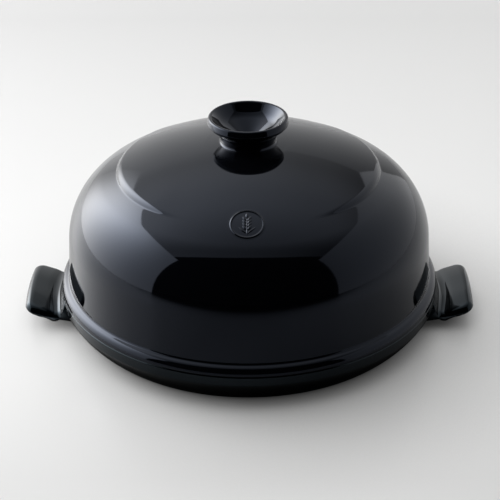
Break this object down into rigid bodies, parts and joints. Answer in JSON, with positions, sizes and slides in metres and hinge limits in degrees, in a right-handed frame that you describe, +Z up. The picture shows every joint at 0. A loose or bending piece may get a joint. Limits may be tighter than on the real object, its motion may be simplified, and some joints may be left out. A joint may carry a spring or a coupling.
{
  "type": "bread cloche",
  "caption": "Round glazed ceramic bread cloche: a shallow dish with two lug handles and a high domed lid with a flared, hollow knob that rests on the rim.",
  "frame": {"origin": "centre of the standing ring, on the surface that the cloche stands on", "axes": "+Z up along the axis of the dish and the dome, +X through one handle, +Y to the back of the cloche"},
  "size_m": [0.34, 0.285, 0.16],
  "materials": {
    "base_glaze": "high gloss, near-black glaze",
    "lid_glaze": "high gloss, near-black glaze"
  },
  "bodies": {
    "root": {"base": "base_glaze", "lid": "lid_glaze"}
  },
  "joints": []
}
